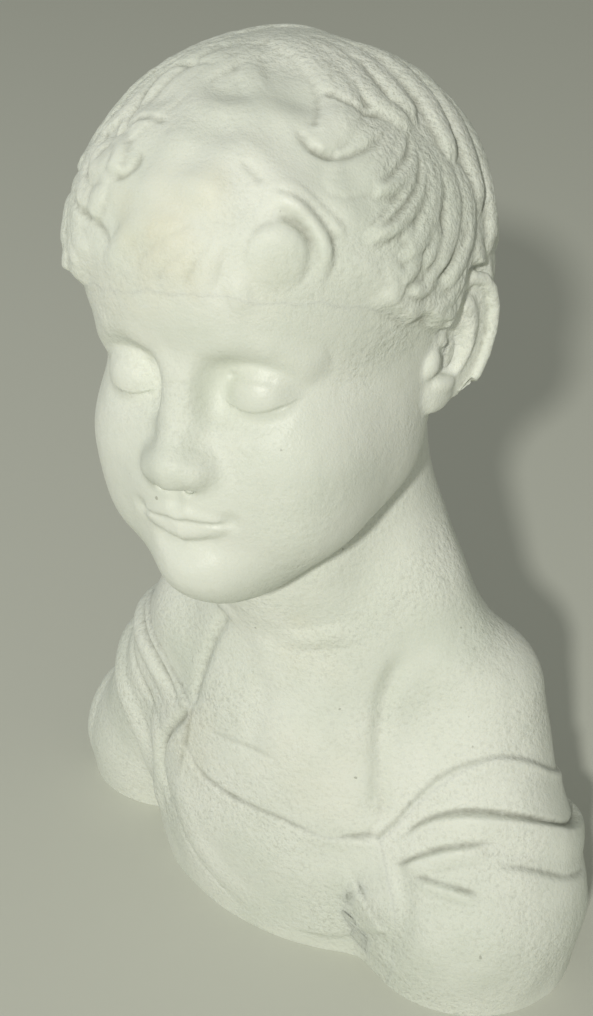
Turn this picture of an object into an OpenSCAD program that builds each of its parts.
// Marble bust of a small child in a slipped shift, cut flat below the arms so that it stands by itself.
// Origin at the middle of the cut base. +Z is up, the chest faces -Y, and the child's left is +X.
// All sizes are in millimetres, and all angles in degrees.
// A bearing is measured round the body from the front, positive towards the child's left.

/* [Base and chest] */
// Half width of the rib cage at its widest
chest_half_w = 78; // [68:1:94]
// Half depth of the rib cage, front to back
chest_half_d = 52; // [44:1:63]
// Height of the rib cage dome over its widest level
chest_dome = 122; // [105:1:140]
// Level of the widest part of the rib cage
chest_z = 44; // [36:1:54]

/* [Shoulders and arms] */
// Height of the shoulder joints over the base
shoulder_z = 115; // [95:1:130]
// Radius of the left shoulder
shoulder_r_left = 32; // [27:1:38]
// Radius of the right shoulder, which is held a little forward
shoulder_r_right = 36; // [30:1:42]
// Radius of the left arm where it is cut
stump_r_left = 46; // [38:1:56]
// Radius of the right arm where it is cut
stump_r_right = 37; // [31:1:45]
// Distance of the arm stumps from the middle
stump_x = 92; // [77:1:105]

/* [Neck] */
// Radius of the neck under the jaw
neck_r = 37; // [32:1:44]
// Radius of the neck where it runs into the shoulders
neck_root_r = 42; // [36:1:50]
// Radius of the full throat under the chin
throat_r = 30; // [25:1:36]
// Half width of the shoulder muscles on each side of the neck
trapezius_half_w = 66; // [58:1:78]
// Level of those muscles
trapezius_z = 148; // [138:1:158]

/* [Head] */
// Height of the head's centre, midway between the ears
head_z = 287.5; // [278:0.5:298]
// Half width of the skull
skull_half_w = 71; // [60:1:86]
// Half length of the skull
skull_half_l = 81; // [70:1:94]
// Half height of the skull dome
skull_half_h = 71; // [62:1:82]
// Half width of the lower face
face_half_w = 53; // [45:1:62]
// Half width across the corners of the jaw, under the ears
jaw_half_w = 59; // [50:1:68]
// Drop of the chin below the head's centre
chin_drop = 104; // [92:1:112]
// Turn of the head to the child's left
head_turn = 9; // [-20:1:30]
// Nod of the head, forwards when positive
head_nod = -5; // [-14:1:8]
// Lean of the head to the child's right
head_lean = 6; // [-4:1:14]

/* [Face] */
// Distance between the middles of the eyes
eye_spacing = 50; // [44:1:56]
// Radius of the eyeballs under their lids
eyeball_r = 12; // [10:0.5:14]
// Level of the eyes, measured from the head's centre
eye_z = -12; // [-18:1:-6]
// Length of the nose, from its root to its base
nose_l = 35; // [29:1:41]
// Width of the nose across its wings
nose_w = 28; // [22:1:34]
// Width of the mouth
mouth_w = 36; // [30:1:44]
// Drop from the base of the nose to the line between the lips
lip_drop = 15; // [11:1:19]

/* [Ears] */
// Height of an ear
ear_h = 56; // [44:1:66]
// Width of an ear, from its front root to the rim
ear_w = 33; // [26:1:40]
// Radius of the rolled rim
ear_rim_r = 3.2; // [2.4:0.2:4]
// Angle at which the ears stand out from the head
ear_flare = 24; // [14:1:34]

/* [Hair] */
// Thickness of the hair over the skull
hair_t = 5; // [4:0.5:8]
// Radius of the modelled locks
lock_r = 6; // [4:0.5:8]
// Level of the hair's edge over the middle of the forehead, from the head's centre
hairline_z = 44; // [38:1:56]
// Fall of the hair's edge from the forehead to the nape
hairline_fall = 96; // [80:1:110]

/* [Cloth] */
// Thickness of the shift on the body
cloth_t = 3; // [2:0.5:5]
// Radius of the folds
fold_r = 5; // [3:0.5:7]
// Level of the neckline at the middle of the chest
neckline_z = 73; // [60:1:86]
// Level of the slipped edge on the outside of the left arm
left_edge_z = 105; // [90:1:112]
// Level of the edge on the outside of the right arm
right_edge_z = 111; // [96:1:118]

/* [Hidden] */
stone = "#dfe3d8";
shaded_stone = "#d2d6c8";   // tooled or rasped
polished_stone = "#e9ebe2";
around = 44;               // points round a ring of the body
levels = 15;               // rings up the trunk
fans = 11;                 // rings over the shoulders and up the neck
head_around = 36;
head_levels = 20;
halvings = 13;             // steps of the search for the surface along a ray
reach_max = 240;           // farthest surface from a ray's start
root = 1.5;                // depth at which applied forms root in the form below
backing = 7;               // depth of the cloth's blanks inside the body, before they are trimmed
bead = 8;                  // facets of the beads in folds, locks and rims
cloth_step = 9;            // bearing between two columns of the cloth
cloth_rows = 9;
big = 700;

spine_y = 8;               // the axis that the body's rays start from
trunk_top = shoulder_z - 8;
neck_top_z = head_z - 24;
head_at = [-10, -17, head_z];
neck_from = [0, 14, trapezius_z + 2];
neck_to = [-2, 6, neck_top_z];
shoulder_left = [65, 22, shoulder_z - 1];
shoulder_right = [-48, 1, shoulder_z + 1];
stump_left = [stump_x - 3, -2, 34];
stump_right = [-stump_x - 4, 12, 16];
stump_foot = 30;           // how far the arms' forms run on under the cut base

skull_c = [0, 12, 20];
skull_r = [skull_half_w, skull_half_l, skull_half_h];
brow_r = [skull_half_w * 0.8, 50, 50];
brow_c = [0, skull_c.y - skull_half_l + 43, 28];
face_r = [face_half_w, 49, 47];
face_c = [0, brow_c.y, -40];
chin_r = [30, 32, 26];
chin_c = [0, brow_c.y - 14, chin_r.z - chin_drop];
jaw_r = [16, 28, 32];
jaw_c = [jaw_half_w - jaw_r.x, -2, -38];
throat_c = [-5, -20, head_z - 98];
cheek_r = [22, 26, 26];
cheek_c = [face_half_w * 0.6, brow_c.y - 15, -40];
nose_root_z = eye_z + 5;
nose_base_z = nose_root_z - nose_l;
mouth_z = nose_base_z - lip_drop;
ear_at = [skull_half_w - 8, 1, -8];
ear_lean = 6;
ear_back_tilt = 12;

// ---- Forms as signed distances: negative inside, zero on the surface ----

// Ellipsoid with its middle at c and half axes r
function ball(p, c, r) =
    let (q = p - c,
         a = norm([q.x / r.x, q.y / r.y, q.z / r.z]),
         b = norm([q.x / pow(r.x, 2), q.y / pow(r.y, 2), q.z / pow(r.z, 2)]))
    b < 1e-6 ? -min(r) : a * (a - 1) / b;

// Tapered limb with round ends
function limb(p, a, b, ra, rb) =
    let (along = b - a,
         t = min(1, max(0, (p - a) * along / (along * along))))
    norm(p - a - along * t) - (ra + (rb - ra) * t);

// Union of two forms that flow into each other over a width k
function meld(a, b, k) =
    let (h = max(0, k - abs(a - b)) / k)
    min(a, b) - h * h * k / 4;

// Upper arm down to its stump, and straight down from there into the base
function arm(p, shoulder, stump, shoulder_r, stump_r) =
    meld(limb(p, shoulder, stump, shoulder_r, stump_r),
         limb(p, stump, [stump.x, stump.y, -stump_foot], stump_r, stump_r - 2), 6);

function trunk(p) =
    let (chest = ball(p, [0, -4, chest_z], [chest_half_w, chest_half_d, chest_dome]),
         left = arm(p, shoulder_left, stump_left, shoulder_r_left, stump_r_left),
         right = arm(p, shoulder_right, stump_right, shoulder_r_right, stump_r_right),
         trapezius = ball(p, [2, 12, trapezius_z], [trapezius_half_w, 34, 50]),
         neck = limb(p, neck_from, neck_to, neck_root_r, neck_r),
         throat = ball(p, throat_c, [throat_r * 1.15, throat_r, throat_r * 1.4]))
    meld(meld(meld(meld(meld(chest, left, 7), right, 7), trapezius, 24), neck, 30), throat, 16);

function skull(q) = meld(ball(q, skull_c, skull_r), ball(q, brow_c, brow_r), 18);

function bare_head(q) =
    let (m = [abs(q.x), q.y, q.z],
         lower = meld(ball(q, face_c, face_r), ball(q, chin_c, chin_r), 16))
    meld(meld(meld(skull(q), ball(m, jaw_c, jaw_r), 18), lower, 20), ball(m, cheek_c, cheek_r), 14);

// Direction at a bearing, raised by rise
function heading(bearing, rise = 0) =
    [sin(bearing) * cos(rise), -cos(bearing) * cos(rise), sin(rise)];

// Point where the ray from o along d leaves the form f, found by halving
function leave(f, o, d, lo = 0, hi = reach_max, n = halvings) =
    n == 0 ? o + d * (lo + hi) / 2 :
    let (mid = (lo + hi) / 2)
    f(o + d * mid) < 0 ? leave(f, o, d, mid, hi, n - 1) : leave(f, o, d, lo, mid, n - 1);

// Smooth course through [position, value] stations
function course(x, s, i = 0) =
    i > len(s) - 3 || x < s[i + 1][0] ?
        let (t = (x - s[i][0]) / (s[i + 1][0] - s[i][0]), e = t * t * (3 - 2 * t))
        s[i][1] + (s[i + 1][1] - s[i][1]) * min(1, max(0, e))
    : course(x, s, i + 1);

// ---- Closed skins from rings of points ----

function middle(ring) = [for (i = [0:2]) [for (p = ring) p[i]] * [for (p = ring) 1] / len(ring)];

// The rings run upwards; both ends are closed by fans to the points low and high
module skin(rings, low, high) {
    n = len(rings[0]);
    m = len(rings);
    points = concat([for (ring = rings) each ring], [low, high]);
    sides = [for (i = [0:m - 2], j = [0:n - 1])
        let (a = i * n + j, b = i * n + (j + 1) % n)
        each [[a, a + n, b], [b, a + n, b + n]]];
    floor_fan = [for (j = [0:n - 1]) [j, (j + 1) % n, n * m]];
    top_fan = [for (j = [0:n - 1]) [(m - 1) * n + (j + 1) % n, (m - 1) * n + j, n * m + 1]];
    polyhedron(points, concat(sides, floor_fan, top_fan), convexity = 6);
}

// Level rays up to the shoulders, then a fan of rays that opens up the neck
module body_form() {
    f = function (p) trunk(p);
    step = 360 / around;
    level_rings = [for (i = [0:levels])
        let (o = [0, spine_y, trunk_top * i / levels])
        [for (j = [0:around - 1]) leave(f, o, heading(j * step))]];
    fan_rings = [for (i = [1:fans])
        let (t = i / fans, o = [-2 * t, spine_y, trunk_top + (neck_top_z - 20 - trunk_top) * t * t])
        [for (j = [0:around - 1]) leave(f, o, heading(j * step, 84 * pow(t, 0.8)))]];
    rings = concat(level_rings, fan_rings);
    skin(rings, [0, spine_y, 0], middle(rings[levels + fans]));
}

// Rings round the head's centre, from a lowest rise at each bearing up to the crown
function head_rings(f, lowest) =
    [for (i = [0:head_levels])
        [for (j = [0:head_around - 1])
            let (b = 360 * j / head_around, from = lowest(b))
            leave(f, [0, 0, 0], heading(b, from + (88 - from) * i / head_levels))]];

module head_form() {
    rings = head_rings(function (q) bare_head(q), function (b) -88);
    skin(rings, middle(rings[0]), middle(rings[head_levels]));
}

// Rise of the hair's edge at a bearing round the head
function hair_edge(b) =
    atan2(hairline_z - hairline_fall * (1 - cos(b)) / 2, skull_half_w + 4 * cos(b));

module hair_form() {
    rings = head_rings(function (q) skull(q) - hair_t, function (b) hair_edge(b));
    skin(rings, [0, 0, 0], middle(rings[head_levels]));
}

// Places what is drawn round the head's centre on the neck
module on_neck() {
    translate(head_at) rotate([0, 0, head_turn]) rotate([head_nod, 0, 0]) rotate([0, -head_lean, 0])
        children();
}

// A round roll through a list of points, tapering to its ends
module roll(points, r, taper = 0.45) {
    last = len(points) - 1;
    size = [for (i = [0:last]) r * (taper + (1 - taper) * sin(180 * i / last))];
    for (i = [0:last - 1]) {
        hull() {
            translate(points[i]) sphere(size[i], $fn = bead);
            translate(points[i + 1]) sphere(size[i + 1], $fn = bead);
        }
    }
}

// ---- Cloth: blanks that follow the body under an edge, cut at seams on two bearings ----

function on_body(bearing, z, out = -root) =
    leave(function (p) trunk(p) - out, [0, spine_y, z], heading(bearing));

// The blank reaches from the base to the edge's level at each bearing, cloth_t out and backing in
module blank(from, to, edge) {
    n = ceil((to - from) / cloth_step);
    columns = [for (j = [0:n])
        let (b = from + (to - from) * j / n, top = course(b, edge))
        concat([for (i = [0:cloth_rows]) on_body(b, top * i / cloth_rows, cloth_t)],
               [for (i = [cloth_rows:-1:0]) on_body(b, top * i / cloth_rows, -backing)])];
    m = 2 * cloth_rows + 2;
    sides = [for (j = [0:n - 1], i = [0:m - 1])
        let (a = j * m + i, b = j * m + (i + 1) % m)
        each [[a, b, a + m], [b, b + m, a + m]]];
    first_seam = [for (i = [0:cloth_rows - 1])
        let (b = m - 1 - i) each [[i, b, i + 1], [i + 1, b, b - 1]]];
    last_seam = [for (i = [0:cloth_rows - 1])
        let (a = n * m + i, b = n * m + m - 1 - i) each [[a, a + 1, b], [a + 1, b - 1, b]]];
    polyhedron([for (c = columns) each c], concat(sides, first_seam, last_seam), convexity = 6);
}

// Roll laid on the body through [bearing, level] stations
module fold(stations, r = fold_r) {
    roll([for (s = stations) on_body(s[0], s[1], cloth_t - r * 0.55)], r);
}

// The space over the floor between two bearings
module sector(from, to) {
    translate([0, spine_y, 0]) linear_extrude(big)
        polygon(concat([[0, 0]], [for (i = [0:6])
            let (b = from + (to - from) * i / 6) big * [sin(b), -cos(b)]]));
}

// One piece of the shift: its blank and folds, trimmed to its seams and to the body
module cloth(from, to, edge) {
    difference() {
        intersection() {
            union() {
                blank(from, to, edge);
                children();
            }
            sector(from, to);
        }
        body_form();
    }
}

seam_front_right = -32;
seam_front_left = 54;
seam_back_left = 126;
seam_back_right = 246;
neck_edge = [[seam_front_right, neckline_z + 11], [-15, neckline_z + 3], [14, neckline_z - 1],
             [36, neckline_z - 8], [seam_front_left, neckline_z - 3]];
left_edge = [[seam_front_left, neckline_z - 3], [68, left_edge_z - 10], [82, left_edge_z],
             [95, left_edge_z - 16], [seam_back_left, left_edge_z - 33]];
back_edge = [[seam_back_left, left_edge_z - 33], [180, 92], [seam_back_right, right_edge_z + 3]];
right_edge = [[-114, right_edge_z + 3], [-84, right_edge_z], [-56, right_edge_z - 5],
              [-40, right_edge_z - 12], [seam_front_right, right_edge_z - 13]];

// ---- The nodes ----

module torso() {
    color(stone) difference() {
        union() {
            body_form();
            for (side = [-1, 1])
                roll([for (b = [8:14:64]) on_body(side * b, 160 - b / 8, -2)], 3.4);
        }
        on_neck() head_form();
    }
}

// Point of the face at a breadth and a level, pushed out or in
function on_face(x, z, out = 0) =
    leave(function (q) bare_head(q), [x, -5, z], [0, -1, 0]) - [0, out, 0];

module eye() {
    centre = on_face(eye_spacing / 2, eye_z, 3 - eyeball_r);
    arc = eyeball_r + 1;
    translate(centre) {
        sphere(eyeball_r, $fn = 20);
        roll([for (a = [-60:24:60]) arc * [sin(a), -cos(a), -0.2 - 0.1 * cos(a)]], 2.2);
        roll([for (a = [-60:24:60]) arc * [sin(a), -0.85 * cos(a), 0.2 + 0.4 * cos(a)]], 2);
    }
}

module nose() {
    tip_r = 7.5;
    wing_r = nose_w * 0.18;
    hull() {
        translate(on_face(0, nose_root_z, -5)) sphere(6, $fn = 18);
        translate(on_face(0, nose_base_z + tip_r, 5)) sphere(tip_r, $fn = 18);
        translate(on_face(0, nose_base_z + 5, 0)) sphere(6, $fn = 18);
    }
    for (side = [-1, 1])
        hull() {
            translate(on_face(side * (nose_w / 2 - wing_r), nose_base_z + 6, 1))
                sphere(wing_r, $fn = 16);
            translate(on_face(0, nose_base_z + 7, 1)) sphere(6, $fn = 16);
        }
}

module lips() {
    for (lip = [[1, 3.2, 4], [0.85, -4, 4.6]])
        roll([for (t = [-1:0.4:1])
            on_face(lip[0] * mouth_w / 2 * t, mouth_z + lip[1], 1 - 2 * t * t)], lip[2]);
}

module head() {
    color(polished_stone) on_neck() {
        head_form();
        eye();
        mirror([1, 0, 0]) eye();
        nose();
        lips();
    }
}

// An ear lies in its own YZ plane, its front root at the origin, and is turned out by its flare
module ear_place(side) {
    on_neck() mirror([side < 0 ? 1 : 0, 0, 0]) translate(ear_at)
        rotate([0, 0, -ear_flare]) rotate([-ear_back_tilt, ear_lean, 0]) children();
}

function ear_rim(a, size = 1) =
    [2 + 3 * size * sin(a / 2), size * ear_w / 2 * (1.1 + sin(a)) * (1 - 0.16 * (1 - cos(a)) / 2),
     size * (ear_h / 2 - ear_rim_r) * cos(a)];

module ear_form() {
    roll([for (a = [-66:22:198]) ear_rim(a)], ear_rim_r, 0.7);
    roll([for (a = [20:25:145]) ear_rim(a, 0.66)], ear_rim_r * 0.9);
    hull() {
        for (a = [-50:40:190]) translate(ear_rim(a) - [3, 0, 0]) sphere(1.6, $fn = bead);
    }
    translate([1, ear_w * 0.3, -ear_h * 0.36]) scale([0.5, 1, 1.1]) sphere(ear_w * 0.24, $fn = 20);
    roll([ear_rim(198), [1, ear_w * 0.12, -ear_h * 0.1], ear_rim(-66)], 2.8, 0.8);
}

module ear(side) {
    color(polished_stone) difference() {
        ear_place(side) ear_form();
        on_neck() head_form();
    }
}

module ear_left() {
    ear(1);
}

module ear_right() {
    ear(-1);
}

// Room left in the hair round an ear
module ear_pocket(side) {
    ear_place(side) translate([4, ear_w * 0.5, 0]) scale([0.8, ear_w / 2 + 4, ear_h / 2 + 2] / 20)
        scale([20, 1, 1]) sphere(20, $fn = 24);
}

// Point on the hair at a bearing and a rise round the head's centre
function on_hair(bearing, rise) =
    leave(function (q) skull(q) - hair_t + lock_r * 0.5, [0, 0, 0], heading(bearing, rise));

module lock(stations, r = lock_r) {
    roll([for (s = stations) on_hair(s[0], s[1])], r);
}

// A curl wound round one place on the hair
module curl(bearing, rise, r) {
    lock([for (a = [0:60:420])
        let (s = r * (1 - a / 600)) [bearing + s * cos(a), rise + s * sin(a)]], 4);
}

module locks() {
    for (side = [-1, 1], b = [14:20:74])
        lock([for (t = [0:0.34:1.02])
            [side * (b - 4 + 10 * t), hair_edge(b) + 6 + 26 * (1 - t) - 4 * sin(180 * t)]]);
    for (b = [100:26:256])
        lock([for (t = [0:0.25:1]) [b + 16 * sin(150 * t), hair_edge(b) + 8 + 50 * (1 - t)]]);
    for (b = [-60:40:260])
        lock([for (t = [0:0.3:0.9]) [b + 30 * t, 78 - 34 * t]]);
    curl(26, 34, 11);
    curl(-52, 26, 10);
}

module hair() {
    color(shaded_stone) difference() {
        on_neck() union() {
            hair_form();
            locks();
        }
        on_neck() head_form();
        body_form();
        for (side = [-1, 1]) ear_pocket(side);
    }
}

module shift_front() {
    color(stone) cloth(seam_front_right, seam_front_left, neck_edge) {
        fold([for (b = [-30:10:50]) [b, course(b, neck_edge) - 4]], 2.4);
        fold([for (t = [0:0.2:1]) [-28 + 16 * t, 70 - 66 * t]]);
        fold([for (t = [0:0.2:1]) [52 - 30 * t, 42 - 26 * t]]);
    }
}

module shift_back() {
    color(shaded_stone) cloth(seam_back_left, seam_back_right, back_edge) {
        fold([for (b = [130:14:242]) [b, course(b, back_edge) - 5]], 2.6);
        for (b = [150:30:220])
            fold([for (t = [0:0.25:1]) [b + 10 * t, 84 - 76 * t]]);
    }
}

module sleeve_left() {
    color(stone) cloth(seam_front_left, seam_back_left, left_edge) {
        fold([for (b = [55:8:123]) [b, course(b, left_edge) - 4]], 2.4);
        fold([for (b = [56:8:112]) [b, course(b, left_edge) - 14 - 8 * sin(3 * (b - 56))]]);
        fold([[58, 63], [63, 72], [68, 79], [75, 80]]);
    }
}

module sleeve_right() {
    color(stone) cloth(-114, seam_front_right, right_edge) {
        fold([for (b = [-112:10:-34]) [b, course(b, right_edge) - 4]], 2.6);
        for (k = [0:2])
            fold([for (t = [0:0.2:1]) [-82 + 9 * k + (26 - 2 * k) * t, 90 - 12 * k - (70 - 12 * k) * t]]);
    }
}

torso();
head();
hair();
ear_left();
ear_right();
shift_front();
shift_back();
sleeve_left();
sleeve_right();
